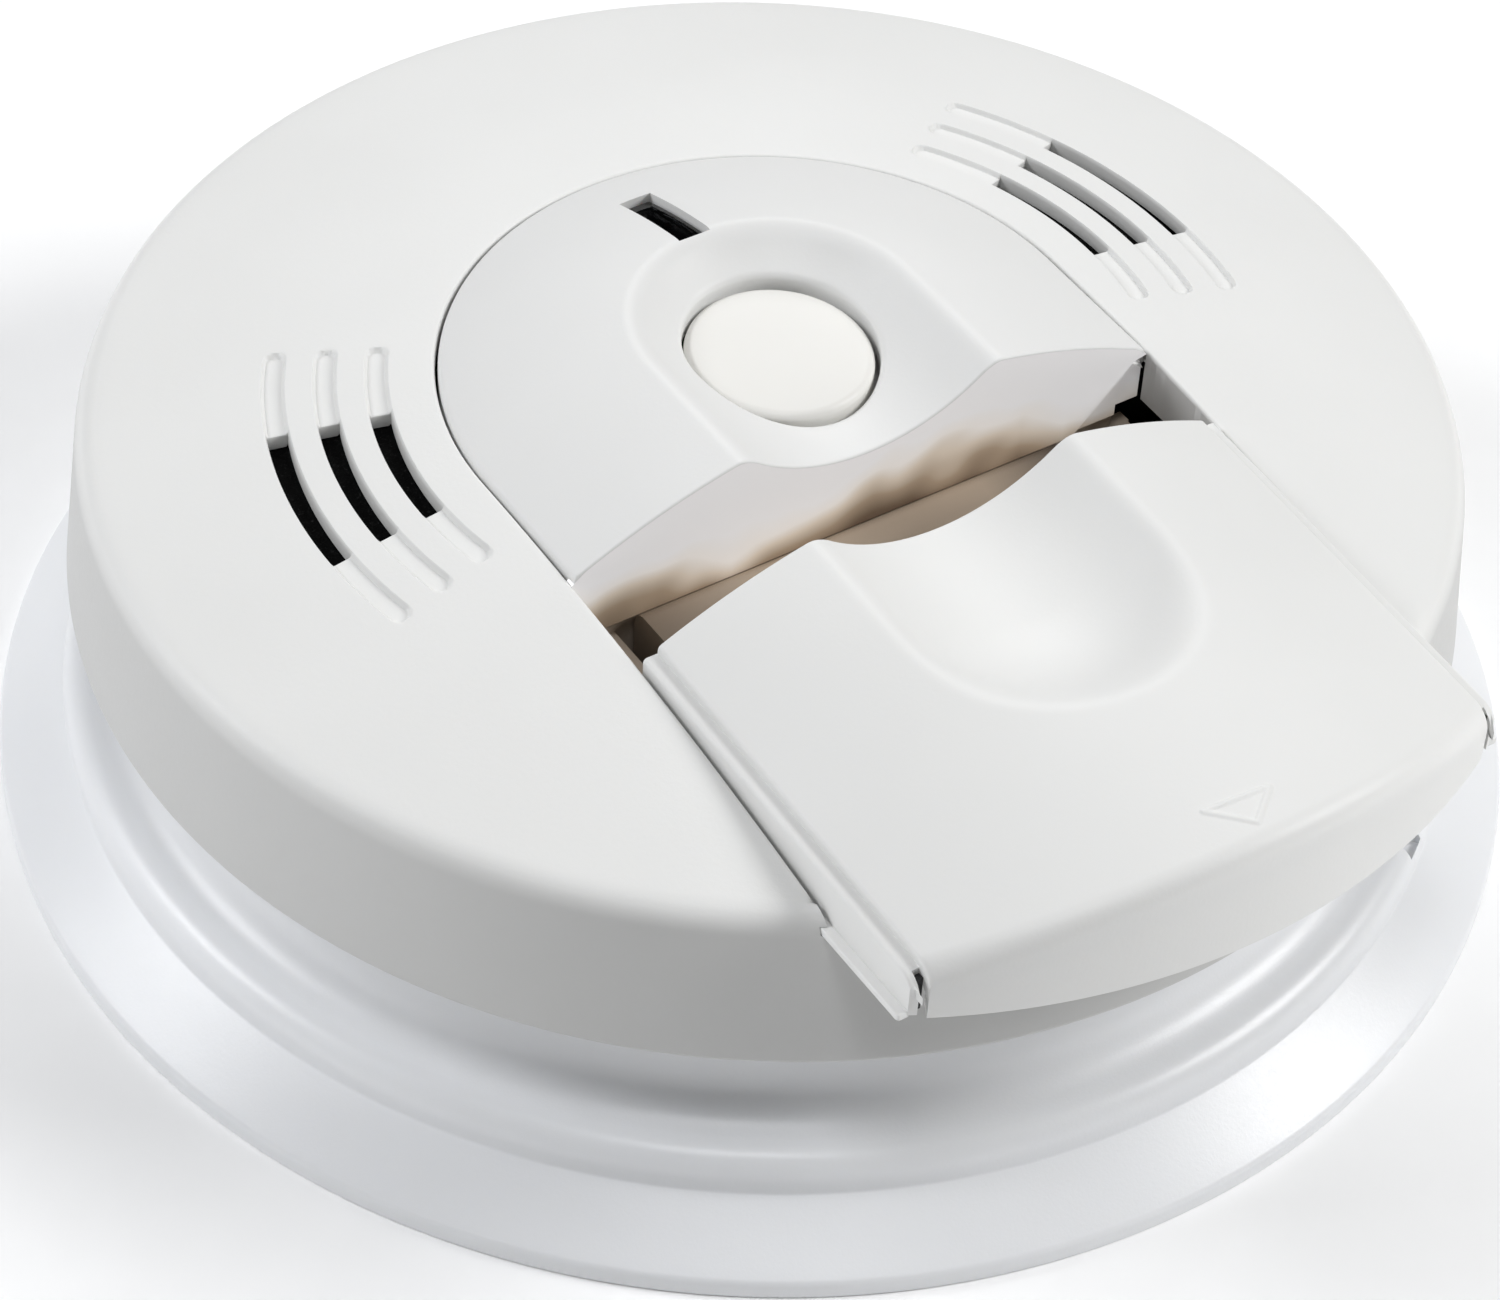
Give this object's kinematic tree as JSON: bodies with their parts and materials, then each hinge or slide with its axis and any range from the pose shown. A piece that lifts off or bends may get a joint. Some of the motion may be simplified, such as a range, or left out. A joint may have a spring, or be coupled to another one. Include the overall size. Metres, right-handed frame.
{
  "type": "smoke detector",
  "caption": "Round ceiling smoke and carbon monoxide alarm: twist-off mounting bracket, domed vented cover, sliding battery door, test button and status window.",
  "frame": {"origin": "centre of the mounting bracket's back face, between its ceiling box screw slots", "axes": "+Z out of the front cover, away from the ceiling; the battery door slides open towards -Y; +X to the right of the door seen from the front"},
  "size_m": [0.146, 0.1477, 0.0502],
  "materials": {
    "cover_plastic": "fine-grained moulded plastic",
    "bracket_plastic": "satin moulded plastic",
    "button_plastic": "smooth satin plastic",
    "inner_plastic": "glossy white plastic",
    "black_plastic": "black moulded plastic",
    "clear_plastic": "clear moulded lens",
    "dark_screen": "black speckled screen",
    "board": "green solder mask",
    "steel": "plated steel",
    "brass": "plated brass",
    "battery_wrap": "copper and black printed wrap, no lettering",
    "capacitor_case": "dipped case",
    "sensor_metal": "drawn can"
  },
  "bodies": {
    "bracket": {"mounting_bracket": "bracket_plastic"},
    "alarm": {"front_cover": "cover_plastic", "control_panel": "cover_plastic", "back_cover": "inner_plastic", "cover_screws": "steel", "circuit_board": "board", "board_screws": "steel", "battery_box": "inner_plastic", "battery_can": "battery_wrap", "battery_terminals": "steel", "snap_plate": "black_plastic", "contact_clips": "brass", "status_lens": "clear_plastic", "status_leds": "clear_plastic", "button_guide": "inner_plastic", "button_spring": "steel", "switch_body": "black_plastic", "horn_housing": "black_plastic", "horn_ring": "black_plastic", "horn_disc": "brass", "horn_screen": "dark_screen", "vent_screen": "dark_screen", "chamber_base": "black_plastic", "chamber_cap": "black_plastic", "insect_screen": "steel", "infrared_led": "clear_plastic", "photodiode": "black_plastic", "gas_sensor_can": "sensor_metal", "gas_sensor_cap": "black_plastic", "power_inlet": "inner_plastic", "inlet_pins": "brass", "mains_capacitor": "capacitor_case", "smoothing_capacitors": "black_plastic", "horn_coil": "black_plastic", "controller_chip": "black_plastic", "driver_chips": "black_plastic"},
    "door": {"battery_door": "cover_plastic"},
    "button": {"test_button": "button_plastic"},
    "plunger": {"switch_plunger": "button_plastic"}
  },
  "joints": [
    {"name": "twist_lock", "type": "hinge", "parent": "bracket", "child": "alarm", "pos_m": [0, 0, 0], "axis": [0, 0, 1], "range_deg": [0, 25]},
    {"name": "door_slide", "type": "slide", "parent": "alarm", "child": "door", "axis": [0, -1, 0], "range_m": [-0.0107, 0.0193]},
    {"name": "button_press", "type": "slide", "parent": "alarm", "child": "button", "axis": [0, 0, -1], "range_m": [0, 0.0008], "stiffness_N_per_m": 500, "springref_m": -0.002, "deforming": ["button_spring"]},
    {"name": "switch_travel", "type": "slide", "parent": "alarm", "child": "plunger", "axis": [0, 0, -1], "range_m": [0, 0.0008]}
  ],
  "couplings": [
    {"joint": "switch_travel", "follows": "button_press", "ratio": 1}
  ]
}
